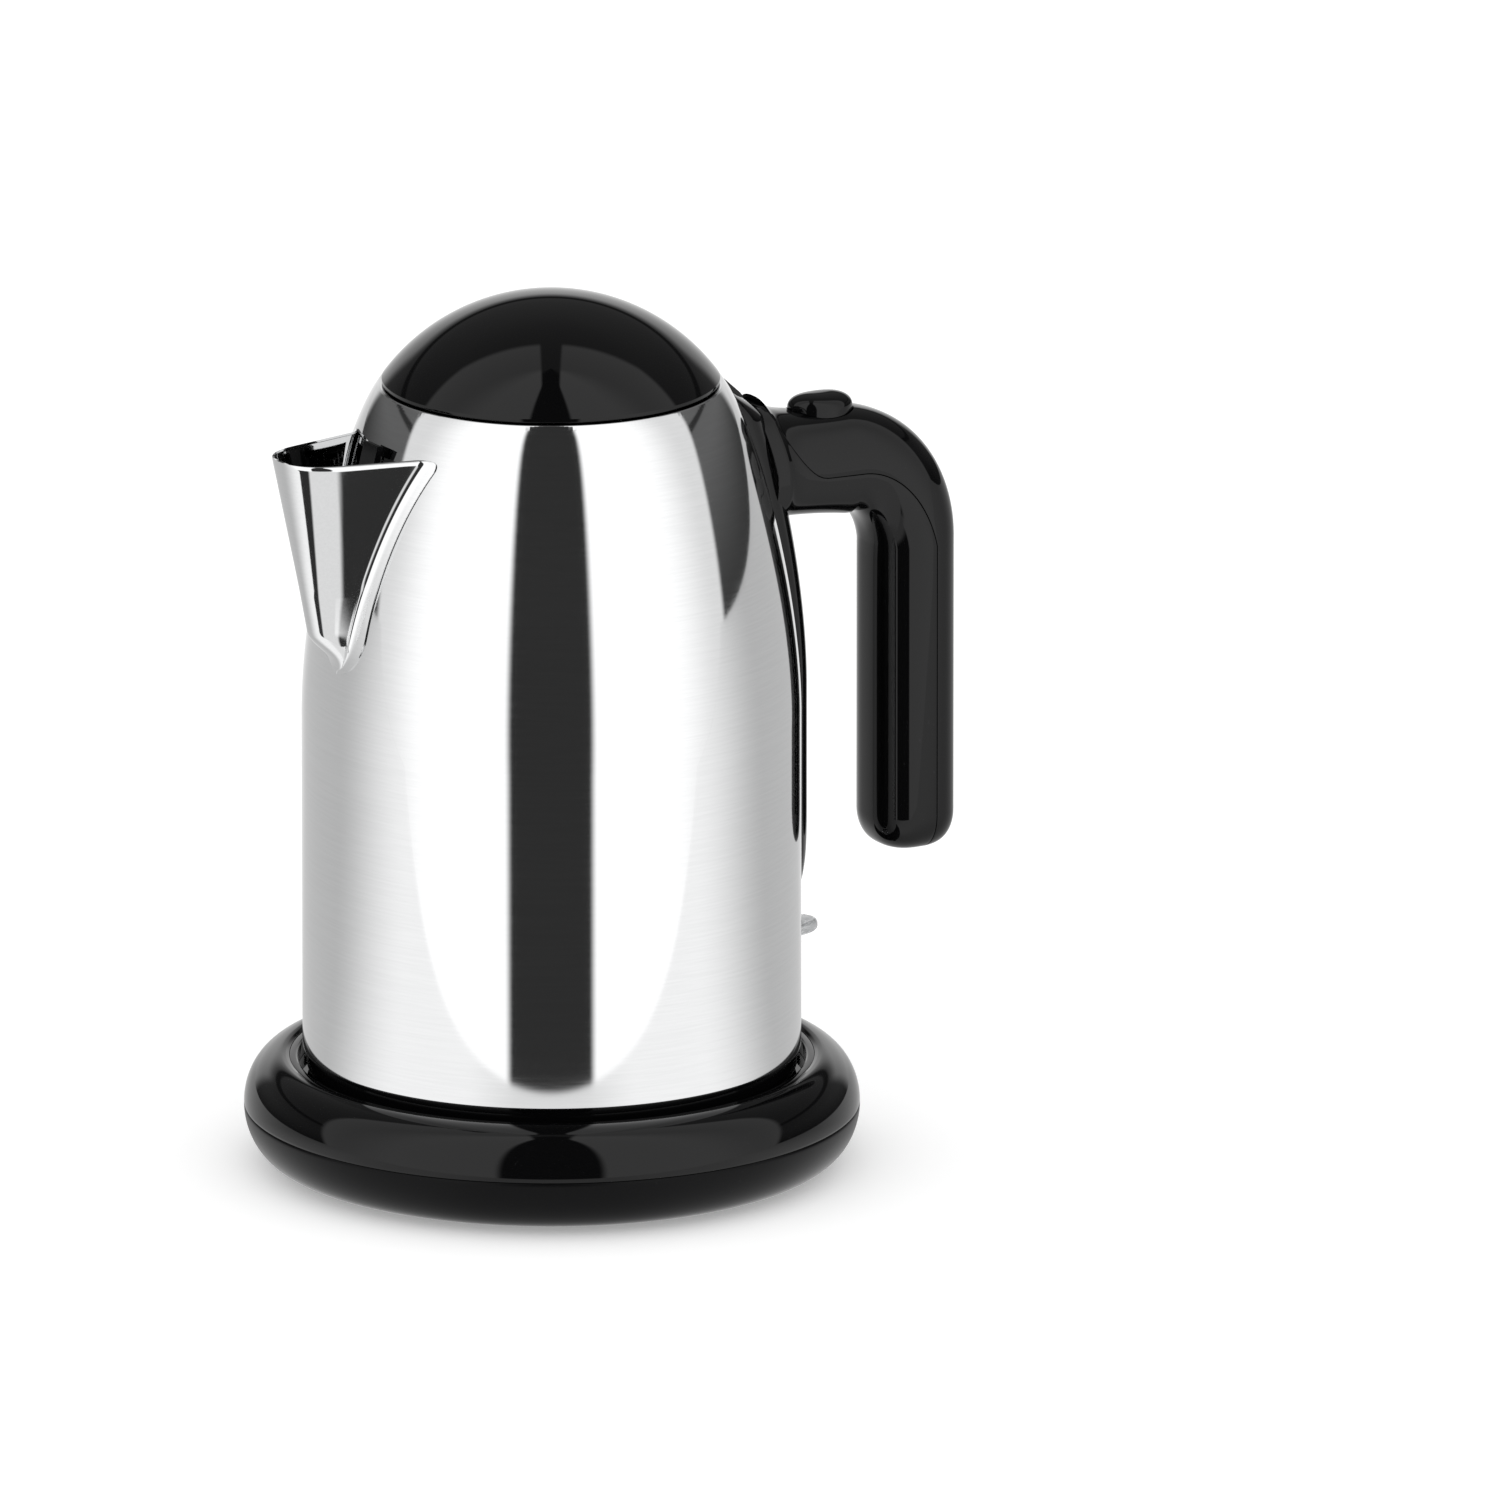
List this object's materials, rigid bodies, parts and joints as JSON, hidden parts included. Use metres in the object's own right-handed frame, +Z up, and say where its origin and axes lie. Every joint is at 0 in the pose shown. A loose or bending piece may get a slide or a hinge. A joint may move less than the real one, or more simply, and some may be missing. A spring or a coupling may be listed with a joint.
{
  "type": "electric_kettle",
  "caption": "Cordless electric kettle with a polished steel body, folded V spout, black domed lid, open-ended black handle and round black power base.",
  "frame": {"origin": "centre of the base's foot ring, on the table", "axes": "+Z up, -X out of the spout, +X to the handle, Y across the kettle"},
  "size_m": [0.2253, 0.1804, 0.2611],
  "materials": {
    "black_gloss": "moulded, high gloss",
    "black_matte": "moulded, satin",
    "cream_plastic": "moulded, heat resistant",
    "clear_plastic": "moulded, translucent",
    "polished_steel": "stainless, polished",
    "brushed_steel": "stainless, brushed",
    "zinc_steel": "zinc plated",
    "aluminium": "pressed",
    "brass": "plain",
    "rubber": "moulded"
  },
  "bodies": {
    "base": {"base_top_cover": "black_gloss", "base_deck": "black_gloss", "base_well_ring": "black_gloss", "base_bottom_cover": "black_matte", "foot_ring": "rubber", "base_screws": "zinc_steel", "base_connector": "black_matte", "base_contacts": "brass", "terminal_block": "cream_plastic", "cord_gland": "rubber"},
    "connector": {"kettle_connector": "black_matte", "kettle_contacts": "brass"},
    "kettle": {"body_shell": "polished_steel", "spout": "polished_steel", "mouth_ring": "black_matte", "floor_plate": "brushed_steel", "heat_spreader": "aluminium", "heating_element": "aluminium", "control_housing": "cream_plastic", "control_posts": "zinc_steel", "dry_boil_disc": "brass", "bottom_cover": "black_matte", "cover_posts": "black_matte", "bottom_screws": "zinc_steel", "steam_tube": "brushed_steel", "steam_disc": "brass", "switch_housing": "black_matte", "lever_pin": "zinc_steel", "pilot_lamp": "clear_plastic", "spine_studs": "zinc_steel", "spine_nuts": "zinc_steel", "handle_grip": "black_gloss", "handle_cover": "black_gloss", "handle_screws": "zinc_steel", "button_spring": "zinc_steel", "catch_pin": "zinc_steel", "lid_hinge_pin": "zinc_steel"},
    "lid": {"lid_dome": "black_gloss", "lid_liner": "brushed_steel", "lid_seal": "rubber", "lid_screws": "zinc_steel"},
    "button": {"lid_button": "black_gloss"},
    "catch": {"catch_lever": "black_matte"},
    "lever": {"switch_lever": "clear_plastic"},
    "filter": {"filter_frame": "black_matte", "filter_mesh": "brushed_steel"}
  },
  "joints": [
    {"name": "kettle_lift", "type": "slide", "parent": "base", "child": "connector", "axis": [0, 0, 1], "range_m": [0, 0.12]},
    {"name": "kettle_turn", "type": "hinge", "parent": "connector", "child": "kettle", "pos_m": [0, 0, 0.027], "axis": [0, 0, 1], "continuous": true},
    {"name": "lid_hinge", "type": "hinge", "parent": "kettle", "child": "lid", "pos_m": [0.0588, 0, 0.2225], "axis": [0, 1, 0], "range_deg": [0, 78]},
    {"name": "button_press", "type": "slide", "parent": "kettle", "child": "button", "axis": [0, 0, -1], "range_m": [0, 0.002], "stiffness_N_per_m": 400, "deforming": ["button_spring"]},
    {"name": "catch_turn", "type": "hinge", "parent": "kettle", "child": "catch", "pos_m": [0.07202, 0, 0.206], "axis": [0, 1, 0], "range_deg": [0, 7.8]},
    {"name": "lever_toggle", "type": "hinge", "parent": "kettle", "child": "lever", "pos_m": [0.061, 0, 0.0568], "axis": [0, 1, 0], "range_deg": [0, 12]},
    {"name": "filter_lift", "type": "slide", "parent": "kettle", "child": "filter", "axis": [0.2437, 0, 0.9699], "range_m": [0, 0.004]}
  ],
  "couplings": [
    {"joint": "catch_turn", "follows": "button_press", "rad_per_m": 66.67}
  ]
}
